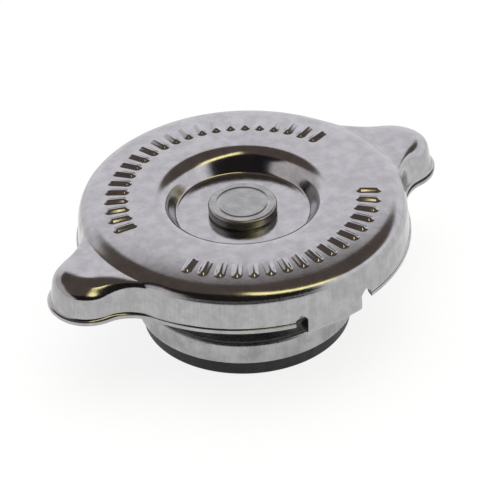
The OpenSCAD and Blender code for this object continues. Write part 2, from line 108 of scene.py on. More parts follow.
def bentPath(corners, closed=True, steps=6, support=0.1, most=0.48):
    # each corner (r, z, bend) becomes an arc of radius bend that touches both of its sides and takes
    # less than half of either; long straight sides get a point near each end so that they stay flat
    spots = np.array([c[:2] for c in corners], float)
    path = []
    for k, (r, z, bend) in enumerate(corners):
        if bend == 0 or (not closed and k in (0, len(corners) - 1)):
            path.append([r, z])
            continue
        back = spots[k - 1] - spots[k]
        ahead = spots[(k + 1) % len(spots)] - spots[k]
        backLong, aheadLong = np.linalg.norm(back), np.linalg.norm(ahead)
        back, ahead = back / backLong, ahead / aheadLong
        half = math.acos(np.clip(back @ ahead, -1, 1)) / 2
        reach = min(bend / math.tan(half), most * backLong, most * aheadLong)
        turn = math.pi - 2 * half
        share = np.linspace(0, 1, steps + 1)[:, None]
        middle = (back + ahead) / np.linalg.norm(back + ahead) * reach / math.cos(half)
        sweep = (np.sin((1 - share) * turn) * (back * reach - middle)
                 + np.sin(share * turn) * (ahead * reach - middle)) / math.sin(turn)
        path += (spots[k] + middle + sweep).tolist()
    path = np.array(path)
    after = np.roll(path, -1, 0) if closed else np.vstack([path[1:], path[-1:]])
    supported = []
    for here, there in zip(path, after):
        supported.append(here)
        span = np.linalg.norm(there - here)
        if span > 4 * support:
            supported += [here + (there - here) * support / span,
                          there - (there - here) * support / span]
    return np.array(supported)


def lathePiece(name, path, sides=224):
    # x = r cos a, y = r sin a, z from the path; a path that ends on the axis gets one pole at each end
    onAxis = path[0, 0] == 0
    r, z = (path[1:-1] if onAxis else path).T
    a = np.linspace(0, 2 * math.pi, sides, endpoint=False)[:, None]
    points = np.stack([r * np.cos(a), r * np.sin(a), z + 0 * a], -1).reshape(-1, 3)
    faces = [gridFaces(sides, len(r), True, not onAxis)]
    if onAxis:
        first = np.arange(sides) * len(r)
        last, one = first + len(r) - 1, np.ones(sides, int)
        faces.append(np.column_stack([one * len(points), first, np.roll(first, -1)]))
        faces.append(np.column_stack([one * (len(points) + 1), np.roll(last, -1), last]))
        points = np.vstack([points, [[0, 0, path[0, 1]], [0, 0, path[-1, 1]]]])
    return buildPiece(name, points, faces)


def dress(piece, body, slotName, material, *nodes):
    # finish and body of a piece, and the CAD nodes that it stands for; the slot name is not used
    piece.data.materials.append(material)
    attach(piece, body)
    if nodes:
        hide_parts(*nodes)
    return piece


# Shader helpers
def addNode(tree, kind, inputs=None, **settings):  # inputs are sockets to link or plain values
    node = tree.nodes.new(kind)
    for key, value in settings.items():
        setattr(node, key, value)
    for key, value in (inputs or {}).items():
        if isinstance(value, bpy.types.NodeSocket):
            tree.links.new(value, node.inputs[key])
        else:
            node.inputs[key].default_value = value
    return node


def sumOf(tree, operation, first, second=0.0, third=None):  # one step of arithmetic
    inputs = {0: first, 1: second}
    if third is not None:
        inputs[2] = third
    return addNode(tree, "ShaderNodeMath", inputs, operation=operation).outputs[0]


def rampOf(tree, value, low, high, outLow=0.0, outHigh=1.0, smooth=True):
    # low to high becomes outLow to outHigh, by a smooth step or a straight line
    inputs = {"Value": value, "From Min": low, "From Max": high, "To Min": outLow, "To Max": outHigh}
    kind = "SMOOTHSTEP" if smooth else "LINEAR"
    return addNode(tree, "ShaderNodeMapRange", inputs, interpolation_type=kind).outputs["Result"]


def bandOf(tree, value, low, high, soft):  # 1 between low and high, with soft ends
    return sumOf(tree, "MULTIPLY", rampOf(tree, value, low - soft, low + soft),
                 rampOf(tree, value, high + soft, high - soft))


def mixOf(tree, share, first, second):  # first colour times one minus share, plus second times share
    inputs = {0: share, 6: first, 7: second}
    return addNode(tree, "ShaderNodeMix", inputs, data_type="RGBA").outputs[2]


def newGroup(name, inputs, outputs):  # an empty group with its sockets, by label and kind
    tree = bpy.data.node_groups.new(name, "ShaderNodeTree")
    for way, sockets in (("INPUT", inputs), ("OUTPUT", outputs)):
        for label, kind in sockets.items():
            tree.interface.new_socket(name=label, in_out=way, socket_type="NodeSocket" + kind)
    return tree, addNode(tree, "NodeGroupInput"), addNode(tree, "NodeGroupOutput")


# Uneven metal: slow clouds, fine grain and crossed hairline scratches, all by place on the piece
unevenness = dict(
    cloudDetail=4.0, cloudRough=0.6, cloudSpan=(0.32, 0.68),
    grainDetail=3.0, grainRough=0.7, grainSpan=(0.3, 0.7), grainRise=0.35,
    hairScale=260.0, hairDetail=2.0, hairRough=0.5, hairSpan=(0.66, 0.74),
    hairShade=-0.18, hairRise=-0.12,
    hairs=((0.5, (14.0, 0.5, 1.0)), (2.1, (11.0, 0.4, 1.0))))  # turn and stretch of each set


def unevenMetal():
    s = unevenness
    tree, given, made = newGroup(
        "unevenMetal",
        {"Light": "Color", "Dark": "Color", "Smooth": "Float", "Rough": "Float",
         "Cloud Scale": "Float", "Grain Scale": "Float", "Relief": "Float"},
        {"Color": "Color", "Roughness": "Float", "Height": "Float"})
    place = addNode(tree, "ShaderNodeTexCoord").outputs["Object"]
    cloud = addNode(tree, "ShaderNodeTexNoise", {
        "Vector": place, "Scale": given.outputs["Cloud Scale"], "Detail": s["cloudDetail"],
        "Roughness": s["cloudRough"]})
    grain = addNode(tree, "ShaderNodeTexNoise", {
        "Vector": place, "Scale": given.outputs["Grain Scale"], "Detail": s["grainDetail"],
        "Roughness": s["grainRough"]})
    scratches = 0.0
    for turn, stretch in s["hairs"]:
        laid = addNode(tree, "ShaderNodeMapping", {
            "Vector": place, "Rotation": (0, 0, turn), "Scale": stretch})
        hair = addNode(tree, "ShaderNodeTexNoise", {
            "Vector": laid.outputs[0], "Scale": s["hairScale"], "Detail": s["hairDetail"],
            "Roughness": s["hairRough"]})
        line = rampOf(tree, hair.outputs["Fac"], *s["hairSpan"])
        scratches = sumOf(tree, "ADD", line, scratches)
    blend = rampOf(tree, cloud.outputs["Fac"], *s["cloudSpan"])
    marked = sumOf(tree, "MULTIPLY_ADD", scratches, s["hairShade"], blend)
    tree.links.new(mixOf(tree, marked, given.outputs["Dark"], given.outputs["Light"]),
                   made.inputs["Color"])
    rough = rampOf(tree, grain.outputs["Fac"], *s["grainSpan"], given.outputs["Smooth"],
                   given.outputs["Rough"], smooth=False)
    tree.links.new(rough, made.inputs["Roughness"])
    rise = sumOf(tree, "MULTIPLY_ADD", grain.outputs["Fac"], s["grainRise"], cloud.outputs["Fac"])
    relief = sumOf(tree, "MULTIPLY_ADD", scratches, s["hairRise"], rise)
    tree.links.new(sumOf(tree, "MULTIPLY", relief, given.outputs["Relief"]), made.inputs["Height"])
    return tree


# Drawing streaks: noise by angle round the axis, hardly changing with height, only on upright walls
drawing = dict(detail=4.0, rough=0.65, middle=0.5, uprightFrom=0.5, uprightTo=0.12)


def drawnStreaks():
    tree, given, made = newGroup("drawnStreaks", {"Count": "Float", "Length": "Float"},
                                 {"Streak": "Float"})
    place = addNode(tree, "ShaderNodeTexCoord").outputs["Object"]
    part = addNode(tree, "ShaderNodeSeparateXYZ", {0: place})
    angle = sumOf(tree, "ARCTAN2", part.outputs[1], part.outputs[0])
    lane = sumOf(tree, "MULTIPLY", angle, given.outputs["Count"])
    along = sumOf(tree, "MULTIPLY", part.outputs[2], given.outputs["Length"])
    spot = addNode(tree, "ShaderNodeCombineXYZ", {0: lane, 1: along, 2: 0.0})
    streak = addNode(tree, "ShaderNodeTexNoise", {
        "Vector": spot.outputs[0], "Scale": 1.0, "Detail": drawing["detail"],
        "Roughness": drawing["rough"]})
    face = addNode(tree, "ShaderNodeSeparateXYZ", {
        0: addNode(tree, "ShaderNodeNewGeometry").outputs["True Normal"]})
    upright = rampOf(tree, sumOf(tree, "ABSOLUTE", face.outputs[2]), drawing["uprightFrom"],
                     drawing["uprightTo"])
    centred = sumOf(tree, "SUBTRACT", streak.outputs["Fac"], drawing["middle"])
    tree.links.new(sumOf(tree, "MULTIPLY", centred, upright), made.inputs["Streak"])
    return tree


unevenGroup = unevenMetal()
streakGroup = drawnStreaks()


def newMaterial(name):  # a material, its tree and its shader
    material = bpy.data.materials.new(name)
    material.use_nodes = True
    tree = material.node_tree
    return material, tree, tree.nodes["Principled BSDF"]


def finishMaterial(name, look):
    # colour, roughness and height of the uneven group, with drawing streaks where the look has them
    material, tree, shader = newMaterial(name)
    uneven = addNode(tree, "ShaderNodeGroup", node_tree=unevenGroup)
    for label, key in (("Light", "light"), ("Dark", "dark"), ("Smooth", "smooth"), ("Rough", "rough"),
                       ("Cloud Scale", "cloudScale"), ("Grain Scale", "grainScale"),
                       ("Relief", "relief")):
        uneven.inputs[label].default_value = look[key]
    shader.inputs["Metallic"].default_value = look.get("metallic", 1.0)
    shader.inputs["Specular IOR Level"].default_value = look.get("specular", 0.5)
    colour, height, rough = (uneven.outputs[k] for k in ("Color", "Height", "Roughness"))
    if "streaks" in look:
        streak = addNode(tree, "ShaderNodeGroup", node_tree=streakGroup)
        streak.inputs["Count"].default_value = look["streaks"]
        streak.inputs["Length"].default_value = look["streakLength"]
        height = sumOf(tree, "MULTIPLY_ADD", streak.outputs["Streak"], look["streakRelief"], height)
        shade = rampOf(tree, streak.outputs["Streak"], -look["streakSpan"], look["streakSpan"],
                       1 - look["streakShade"], 1 + look["streakShade"], smooth=False)
        tint = addNode(tree, "ShaderNodeVectorMath", {0: colour, 1: (1, 1, 1)}, operation="SCALE")
        tree.links.new(shade, tint.inputs["Scale"])
        colour = tint.outputs[0]
    bump = addNode(tree, "ShaderNodeBump", {"Height": height, "Strength": 1.0, "Distance": mm})
    for socket, key in ((colour, "Base Color"), (rough, "Roughness"), (bump.outputs[0], "Normal")):
        tree.links.new(socket, shader.inputs[key])
    return material


steelLook = dict(light=(0.43, 0.428, 0.431, 1), dark=(0.355, 0.352, 0.356, 1), smooth=0.11, rough=0.18,
                 cloudScale=420.0, grainScale=2600.0, relief=0.008,
                 streaks=95.0, streakLength=60.0, streakRelief=0.013, streakShade=0.1, streakSpan=0.3)
zincLook = dict(light=(0.46, 0.465, 0.455, 1), dark=(0.36, 0.365, 0.355, 1), smooth=0.26, rough=0.4,
                cloudScale=420.0, grainScale=2400.0, relief=0.02,
                streaks=60.0, streakLength=220.0, streakRelief=0.02, streakShade=0.1, streakSpan=0.3)
cupLook = dict(zincLook, light=(0.43, 0.435, 0.432, 1), dark=(0.29, 0.295, 0.295, 1), smooth=0.22,
               cloudScale=240.0, relief=0.03)
springLook = dict(light=(0.38, 0.38, 0.4, 1), dark=(0.27, 0.27, 0.29, 1), smooth=0.25, rough=0.42,
                  cloudScale=500.0, grainScale=2000.0, relief=0.015)
brassLook = dict(light=(0.68, 0.5, 0.25, 1), dark=(0.54, 0.38, 0.17, 1), smooth=0.2, rough=0.36,
                 cloudScale=420.0, grainScale=2200.0, relief=0.012)
rubberLook = dict(light=(0.034, 0.03, 0.034, 1), dark=(0.016, 0.014, 0.017, 1), smooth=0.38, rough=0.62,
                  cloudScale=380.0, grainScale=3200.0, relief=0.03, metallic=0.0, specular=0.36)
steel = finishMaterial("polishedSteel", steelLook)
zinc = finishMaterial("zincSteel", zincLook)
cupZinc = finishMaterial("mottledZinc", cupLook)
springSteel = finishMaterial("springSteel", springLook)
brass = finishMaterial("brassSheet", brassLook)
rubber = finishMaterial("blackRubber", rubberLook)
print("finishes made")

# Stamped outer shell with its two ears, flared lip and bayonet tabs
tabZ, crownZ = heights("outer_cap")
shell = dict(
    sheet=0.8, skirtR=29.4, skirtH=8.5, draft=4.0, rimR=3.2, crownR=85.0, crownMidR=17.0,
    dishFloorR=11.5, dishWallW=4.1, dishDepth=3.6, dishFootR=0.6, dishSlope=60.0, holeR=3.06,
    lipOut=0.6, lipT=0.7, lipNarrow=0.45, lipSpan=(14.0, 24.0),  # full at the ears, narrow past these
    earReach=10.1, earHalfW=6.65, earCornerR=6.3, earFilletR=5.0, earFilletGrowth=1.5,
    earFilletMost=8.5, earDrop=1.55, earDraft=8.0, earCrease=1.4, earRidgeW=2.5,
    earTight=(3.0, 3.0, 60.0), earWide=(1.3, 6.8, 50.0),  # radii of edge and dome, and where they meet
    earRoot=(1.2, 2.4, 50.0), earRootSpan=(28.5, 35.0),
    tabSpan=22.1, tabTurn=-1.55, tabDepth=3.2, tabBendR=1.2, edgeR=0.12,
    reliefW=2.3, reliefH=2.05, reliefPoint=1.1, reliefPower=1.5)
spacing = dict(  # rays, rings and points of the shell's grid
    earZone=27.0, tabRays=25, notchRays=11, sideRays=42, earRays=151,
    ringsTo=29.02, ringCount=74, ringBend=2.2, ringApart=0.02, seamFrom=28.35, seamRings=10,
    sideFine=700, sideBend=1.6, sidePoints=40, footPoints=22, innerStep=4,
    searchIn=6.0, searchOut=3.0, halvings=44)
lipZ = crownZ - shell["skirtH"]
flareZ = lipZ + shell["lipT"] + shell["lipOut"]
floorZ = crownZ - shell["dishDepth"]
earTopZ = crownZ - shell["earDrop"]
belowAll = flareZ - 20  # stands for no surface
lipRay, notchRay, tabRay = 0, 1, 2  # kinds of rays round the shell
wallZ = np.array([flareZ + 0.1, flareZ + 1.0, flareZ + 1.0])  # where each kind turns into its foot
print("shell heights", round(lipZ, 3), round(flareZ, 3), round(floorZ, 3), round(tabZ, 3))


def crownAt(r):  # a long arc over the middle of the crown's ring
    return crownZ - shell["crownR"] + np.sqrt(shell["crownR"] ** 2 - (r - shell["crownMidR"]) ** 2)


def capSection():
    # dish floor, hollow bend, straight wall, round bend, domed crown, rim bend and leaning wall,
    # as radius and height from the hole out to the flare
    s = shell
    edgeR = s["dishFloorR"] + s["dishWallW"]
    edgeZ = float(crownAt(edgeR))
    slope = s["dishSlope"]
    slopeSin, slopeCos = math.sin(math.radians(slope)), math.cos(math.radians(slope))
    bends = (s["dishWallW"] * slopeSin - (edgeZ - floorZ) * slopeCos) / (1 - slopeCos)
    browR = bends - s["dishFootR"]  # the two bends share what the straight wall leaves
    lean = math.radians(s["draft"])
    out, up = np.array([math.cos(lean), math.sin(lean)]), np.array([-math.sin(lean), math.cos(lean)])
    crownMid = np.array([s["crownMidR"], crownZ - s["crownR"]])
    start = np.array([s["skirtR"], flareZ]) - s["rimR"] * out - crownMid
    along = start @ up
    climb = math.sqrt(along ** 2 - start @ start + (s["crownR"] - s["rimR"]) ** 2) - along
    rim = crownMid + start + climb * up
    touch = math.degrees(math.atan2(rim[1] - crownMid[1], rim[0] - crownMid[0]))
    touchR = crownMid[0] + s["crownR"] * math.cos(math.radians(touch))
    crown = np.linspace(edgeR, touchR, 60)[1:-1]
    return np.vstack([
        [[s["holeR"], floorZ]],
        arc((s["dishFloorR"], floorZ + s["dishFootR"]), s["dishFootR"], -90, slope - 90, 60),
        arc((edgeR, edgeZ - browR), browR, 90 + slope, 90, 90)[1:],
        np.column_stack([crown, crownAt(crown)]),
        arc(rim, s["rimR"], touch, s["draft"], 120),
        [[s["skirtR"], flareZ]]])


section = capSection()


def planDistance(x, y, f):
    # signed distance to the skirt's circle and the ear's rounded box, joined by a hollow of radius f
    s = shell
    circle = np.hypot(x, y) - s["skirtR"]
    qx = np.abs(x) - (s["skirtR"] + s["earReach"] - s["earCornerR"])
    qy = np.abs(y) - (s["earHalfW"] - s["earCornerR"])
    box = (np.hypot(np.maximum(qx, 0), np.maximum(qy, 0)) + np.minimum(np.maximum(qx, qy), 0)
           - s["earCornerR"])
    return (np.maximum(f, np.minimum(circle, box))
            - np.hypot(np.maximum(f - circle, 0), np.maximum(f - box, 0)))


def outlineR(angle, level):
    # radius at which the plan distance reaches a level, by halving the interval
    low = np.full(np.broadcast(angle, level).shape, shell["skirtR"] - spacing["searchIn"])
    high = low + spacing["searchIn"] + shell["earReach"] + spacing["searchOut"]
    for _ in range(spacing["halvings"]):
        mid = (low + high) / 2
        inside = planDistance(mid * np.cos(angle), mid * np.sin(angle), shell["earFilletR"]) < level
        low, high = np.where(inside, mid, low), np.where(inside, high, mid)
    return (low + high) / 2


def smoothStep(value, low, high):  # 0 below low, 1 above high and a smooth step between them
    share = np.clip((value - low) / (high - low), 0, 1)
    return share ** 2 * (3 - 2 * share)


def earSection(inset, edgeR, domeR, domeFrom):
    # leaning ear wall, edge bend, dome and level top by the distance in from the outline
    lean, turn = math.radians(shell["earDraft"]), math.radians(domeFrom)
    domeZ = earTopZ - domeR
    bendZ = domeZ + (domeR - edgeR) * math.sin(turn)
    wallIn = (bendZ + edgeR * math.sin(lean) - flareZ) * math.tan(lean)
    bendIn = wallIn + edgeR * math.cos(lean)
    domeIn = bendIn + (domeR - edgeR) * math.cos(turn)
    bend = bendZ + np.sqrt(np.maximum(edgeR ** 2 - (bendIn - inset) ** 2, 0))
    dome = domeZ + np.sqrt(np.maximum(domeR ** 2 - np.maximum(domeIn - inset, 0) ** 2, 0))
    top = np.where(inset < domeIn - domeR * math.cos(turn), bend, dome)
    return np.where(inset < wallIn, flareZ + inset / math.tan(lean), top)


def earHeight(inset, x, y):
    # a tight edge on one side of an ear blends over its ridge into a wide dome on the other,
    # and both into a sharper edge near the root
    wide = smoothStep(np.sign(x) * y, -shell["earRidgeW"], shell["earRidgeW"])
    root = smoothStep(np.hypot(x, y), *shell["earRootSpan"])
    tight, domed, sharp = (earSection(inset, *shell[k]) for k in ("earTight", "earWide", "earRoot"))
    return root * ((1 - wide) * tight + wide * domed) + (1 - root) * sharp


def shellTop(r, angle):
    # the higher of the cap and the ears, with the crease between them slightly rounded;
    # the hollow beside an ear widens with the distance in from its outline
    cap = np.where(r <= shell["skirtR"], np.interp(r, section[:, 0], section[:, 1]), belowAll)
    x, y = r * np.cos(angle), r * np.sin(angle)
    hollow = shell["earFilletR"]
    for _ in range(4):
        inset = -planDistance(x, y, hollow)
        hollow = np.clip(shell["earFilletR"] + shell["earFilletGrowth"] * inset, shell["earFilletR"],
                         shell["earFilletMost"])
    ear = earHeight(inset, x, y)
    ear = np.where(r > shell["crownMidR"], ear, belowAll)  # nothing of an ear reaches into the dish
    k = shell["earCrease"]
    return np.maximum(cap, ear) + np.maximum(k - np.abs(cap - ear), 0) ** 2 / (4 * k)


def shellAngles():
    # rays of the shell in degrees, their kind, and their place from -1 to 1 across a notch
    s = shell
    half = s["tabSpan"] / 2
    notch = math.degrees(s["reliefW"] / s["skirtR"])
    runs = []
    for ear in (0.0, 180.0):
        tab = ear - 90 + s["tabTurn"]
        lipStart, lipEnd = tab + half + notch, tab + 180 - half - notch
        earStart, earEnd = ear - spacing["earZone"], ear + spacing["earZone"]
        lip = np.concatenate([np.linspace(lipStart, earStart, spacing["sideRays"])[:-1],
                              np.linspace(earStart, earEnd, spacing["earRays"]),
                              np.linspace(earEnd, lipEnd, spacing["sideRays"])[1:]])
        runs += [(np.linspace(tab - half, tab + half, spacing["tabRays"]), tabRay),
                 (np.linspace(tab + half, lipStart, spacing["notchRays"]), notchRay), (lip, lipRay),
                 (np.linspace(lipEnd, lipEnd + notch, spacing["notchRays"]), notchRay)]
    angles = np.concatenate([run for run, _ in runs])
    kinds = np.concatenate([np.full(len(run), kind) for run, kind in runs])
    across = np.concatenate([np.linspace(-1, 1, len(run)) for run, _ in runs])
    return np.radians(angles), kinds, across


def evenly(path, count):  # points at even lengths along a path
    gone = np.concatenate([[0], np.cumsum(np.linalg.norm(np.diff(path, axis=0), axis=1))])
    at = np.linspace(0, gone[-1], count)
    return np.column_stack([np.interp(at, gone, path[:, k]) for k in (0, 1)])


def footPaths(angles, kinds, across):
    # below the wall: the flared lip and its mouth, the notch's blunt top, or the tab and its folded
    # foot, each as plan level and height; the ends stand in a little, as the leaning wall does there
    s = shell
    count, t, e = spacing["footPoints"], s["sheet"], s["edgeR"]
    lip, mouth = s["lipOut"], s["lipOut"] + s["sheet"]
    mouthStart = math.degrees(math.acos((flareZ - lipZ) / mouth))
    lipPath = np.vstack([
        [[-0.004, flareZ + 0.06]],
        arc((lip, flareZ), lip, 180, 270, 8),
        arc((lip - e, lipZ + e), e, 0, -90, 3),
        arc((lip, flareZ), mouth, 270 - mouthStart, 180, 7)])
    bendR, deep = s["tabBendR"], s["tabDepth"]
    bend = (-bendR, tabZ + bendR)
    tabPath = np.vstack([
        [[-0.05, wallZ[tabRay] - 0.15], [0, flareZ], [0, lipZ]],
        arc(bend, bendR, 0, -90, 6),
        arc((-deep + e, tabZ + e), e, -90, -180, 2), arc((-deep + e, tabZ + t - e), e, 180, 90, 2),
        arc(bend, bendR - t, -90, 0, 3),
        [[-t, lipZ], [-t - 0.05, wallZ[tabRay] - 0.1]]])
    levels, rises = np.empty((len(angles), count)), np.empty((len(angles), count))
    levels[kinds == lipRay], rises[kinds == lipRay] = lipPath.T
    levels[kinds == tabRay], rises[kinds == tabRay] = evenly(tabPath, count).T
    offEar = smoothStep(np.abs(np.sin(angles)), *np.sin(np.radians(s["lipSpan"])))
    narrow = 1 - (1 - s["lipNarrow"]) * offEar[:, None]
    levels = np.where((kinds == lipRay)[:, None] & (levels > 0), levels * narrow, levels)
    notched = kinds == notchRay
    point = s["reliefPoint"] * np.abs(across[notched]) ** s["reliefPower"]
    top = (lipZ + s["reliefH"] - point)[:, None]
    share, knots = np.linspace(0, 1, count), [0, 0.35, 0.65, 1]
    levels[notched] = np.interp(share, knots, [-0.05, -0.03, -t - 0.03, -t - 0.05])
    rises[notched] = top + np.interp(share, knots, [1, 0, 0, 1]) * (wallZ[notchRay] - 0.12 - top)
    return levels, rises


def sharedRings():
    # radii of the rings that all rays share, closer where the section bends and near the rim
    s = spacing
    turning = np.unwrap(np.arctan2(np.gradient(section[:, 1]), np.gradient(section[:, 0])))
    gone = np.concatenate([[0], np.cumsum(np.linalg.norm(np.diff(section, axis=0), axis=1)
                                          + s["ringBend"] * np.abs(np.diff(turning)))])
    stop = np.interp(s["ringsTo"], section[:, 0], gone)
    rings = np.interp(np.linspace(0, stop, s["ringCount"]), gone, section[:, 0])
    seam = np.linspace(s["seamFrom"], s["ringsTo"], s["seamRings"])[:-1]
    rings = np.sort(np.concatenate([rings, seam]))
    return rings[np.concatenate([[True], np.diff(rings) > s["ringApart"]])]


def sideRadii(ray, kinds, start):
    # radii of each ray from the last shared ring to where its wall ends, closer where it bends
    share = np.linspace(0, 1, spacing["sideFine"])
    fineR = start + (outlineR(ray, 0.0) - start) * (1 - (1 - share) ** 3)
    fineZ = shellTop(fineR, ray)
    stepR, stepZ = np.diff(fineR, axis=1), np.diff(fineZ, axis=1)
    weight = np.hypot(stepR, stepZ)
    weight[:, 1:] += spacing["sideBend"] * np.abs(np.diff(np.arctan2(stepZ, stepR), axis=1))
    run = np.concatenate([np.zeros((len(ray), 1)), np.cumsum(weight, axis=1)], axis=1)
    cut = wallZ[kinds]
    below = np.argmax(fineZ < cut[:, None], axis=1)
    rows, before = np.arange(len(ray)), below - 1
    part = (fineZ[rows, before] - cut) / (fineZ[rows, before] - fineZ[rows, below])
    end = run[rows, before] + part * (run[rows, below] - run[rows, before])
    apart = rows[:, None] * (run.max() + 1)  # keeps the rays apart in one long interpolation
    asked = end[:, None] * np.linspace(0, 1, spacing["sidePoints"] + 1)[1:] + apart
    return np.interp(asked.ravel(), (run + apart).ravel(), fineR.ravel()).reshape(asked.shape)


def shellPoints():
    # rays round the axis by points along the sheet: outside from the hole, foot, inside back to it
    angles, kinds, across = shellAngles()
    ray = angles[:, None]
    rings = sharedRings()
    topR = np.broadcast_to(rings, (len(angles), len(rings)))
    r = np.concatenate([topR, sideRadii(ray, kinds, rings[-1])], axis=1)
    outside = np.stack([r * np.cos(ray), r * np.sin(ray), shellTop(r, ray)], -1)
    ahead, behind = np.roll(outside, -1, 0), np.roll(outside, 1, 0)
    normal = np.cross(np.gradient(outside, axis=1), ahead - behind)
    normal /= np.linalg.norm(normal, axis=2, keepdims=True)
    normal *= np.sign(normal[:, :1, 2:])
    inside = (outside - shell["sheet"] * normal)[:, ::-spacing["innerStep"]]
    inside[:, -1, :2] = outside[:, 0, :2]  # the hole's wall is upright
    levels, rises = footPaths(angles, kinds, across)
    footR = outlineR(ray, levels)
    foot = np.stack([footR * np.cos(ray), footR * np.sin(ray), rises], -1)
    return np.concatenate([outside, foot, inside], axis=1)


def outerShell():  # the grid closed round the axis and along the sheet
    grid = shellPoints()
    print("shell grid", grid.shape)
    faces = [gridFaces(grid.shape[0], grid.shape[1], True, True)]
    return buildPiece("capShell", grid.reshape(-1, 3), faces)


dress(outerShell(), "outer_shell", "polished_steel", steel, "outer_cap")
print("shell built")

# Plain raised ribs in two arcs on the crown
ribs = dict(middleR=22.3, length=4.6, width=2.0, rise=0.5, lift=0.012, sink=0.3, rings=10, sides=36,
            arcs=((18.0, 168.0, 22), (-149.0, -33.0, 17)))  # from, to and how many, in degrees


def crownRibs():
    # each rib is a bar with round ends: rings at shrinking distances round its middle line, whose
    # height is the square of one minus the distance squared: a soft foot and a rounded top
    s = ribs
    v = np.linspace(1, 0, s["rings"] + 1)[:-1][:, None]
    u = (np.arange(s["sides"]) + 0.5)[None, :] * 2 * math.pi / s["sides"]
    long = np.sign(np.cos(u)) * (s["length"] - s["width"]) / 2 + v * np.cos(u) * s["width"] / 2
    wide = v * np.sin(u) * s["width"] / 2
    rise = s["rise"] * (1 - v ** 2) ** 2 + s["lift"] + 0 * u
    long, wide = (np.vstack([k[:1], k]) for k in (long, wide))
    rise = np.vstack([rise[:1] * 0 - s["sink"], rise])
    poles = np.array([[0, 0, -s["sink"]], [0, 0, s["rise"] + s["lift"]]])
    local = np.vstack([np.stack([long, wide, rise], -1).reshape(-1, 3), poles])
    quads, ends = gridFaces(*long.shape, False, True), endFaces(*long.shape)
    spots, fours, threes = [], [], []
    angles = np.concatenate([np.linspace(*a) for a in s["arcs"]])
    for k, angle in enumerate(np.radians(angles)):
        x, y = s["middleR"] + local[:, 0], local[:, 1]
        z = np.interp(np.hypot(x, y), section[:, 0], section[:, 1]) + local[:, 2]
        spots.append(np.column_stack([x * math.cos(angle) - y * math.sin(angle),
                                      x * math.sin(angle) + y * math.cos(angle), z]))
        fours.append(quads + k * len(local))
        threes.append(ends + k * len(local))
    return buildPiece("crownRibs", np.vstack(spots), [np.vstack(fours), np.vstack(threes)])


dress(crownRibs(), "outer_shell", "polished_steel", steel)
print("ribs built")

# Turned pieces of the bell assembly
rivetFoot, rivetTop = heights("centre_rivet")
rivetHead = dict(r=radius("centre_rivet"), thick=2.0, stemR=3.0, ringR=4.5, ringW=0.55, ringDeep=0.13,
                 edge=0.45, under=0.3, washerZ=heights("rivet_washer")[0], upsetR=4.6, upset=0.55)


def centreRivet():
    # upset foot, shank, head with a broken lower edge, and a shallow ring groove on top
    s = rivetHead
    headZ = rivetTop - s["thick"]
    path = bentPath([
        (0, rivetFoot, 0), (s["upsetR"] - s["upset"], rivetFoot, 0.3),
        (s["upsetR"], rivetFoot + s["upset"], 0.3), (s["upsetR"], s["washerZ"], 0.05),
        (s["stemR"], s["washerZ"], 0.0), (s["stemR"], headZ, 0.0),
        (s["r"] - s["under"], headZ, 0.1), (s["r"], headZ + s["under"], 0.2),
        (s["r"], rivetTop, s["edge"]),
        (s["ringR"] + s["ringW"] / 2, rivetTop, 0.12), (s["ringR"], rivetTop - s["ringDeep"], 0.16),
        (s["ringR"] - s["ringW"] / 2, rivetTop, 0.12), (0, rivetTop, 0)], closed=False)
    return lathePiece("rivet", path)


dress(centreRivet(), "bell_assembly", "zinc_steel", zinc, "centre_rivet")


def plainRing(name, node, inside, edge):
    # flat ring as high and wide as its CAD node, with broken edges
    low, high = heights(node)
    r = radius(node)
    corners = ((inside, low), (r, low), (r, high), (inside, high))
    return lathePiece(name, bentPath([(*c, edge) for c in corners], steps=3))


stemHole = rivetHead["stemR"] + 0.08  # round the rivet's shank
dress(plainRing("frictionRing", "friction_washer", stemHole, 0.08), "bell_assembly", "brass", brass,
      "friction_washer")
dress(plainRing("rivetRing", "rivet_washer", stemHole, 0.15), "bell_assembly", "zinc_steel", zinc,
      "rivet_washer")

gasketLow, gasketTop = heights("upper_gasket")
upperSeal = dict(width=5.3, edge=0.3)
diaphragm = dict(flatR=shell["dishFloorR"] + 0.2, ringIn=1.6, bend=2.0)


def springDiaphragm():
    # flat round the rivet, a shallow cone and a flat ring over the gasket
    low, high = heights("spring_diaphragm")
    r = radius("spring_diaphragm")
    thick = high - gasketTop
    flat, bend = diaphragm["flatR"], diaphragm["bend"]
    ring = radius("upper_gasket") - upperSeal["width"] - diaphragm["ringIn"]
    path = bentPath([
        (stemHole, low, 0.05), (flat, low, bend), (ring, gasketTop, bend), (r, gasketTop, 0.12),
        (r, high, 0.12), (ring, high, bend), (flat, low + thick, bend), (stemHole, low + thick, 0.05)])
    return lathePiece("diaphragm", path)


dress(springDiaphragm(), "bell_assembly", "spring_steel", springSteel, "spring_diaphragm")


def upperGasket():
    # flat ring, square where it is glued on and rounded below
    r = radius("upper_gasket")
    e = upperSeal["edge"]
    inside = r - upperSeal["width"]
    path = bentPath([(inside, gasketTop, 0.05), (inside, gasketLow, e), (r, gasketLow, e),
                     (r, gasketTop, 0.05)])
    return lathePiece("upperSealRing", path)


dress(upperGasket(), "bell_assembly", "rubber", rubber, "upper_gasket")

# Valve cup, its gasket and the pieces that clamp it
cupZ, cupTop = heights("valve_cup")
cup = dict(r=radius("valve_cup"), sheet=0.7, edge=0.9, foldR=16.3, bossInR=7.48, bossRise=1.8,
           holeR=3.68)


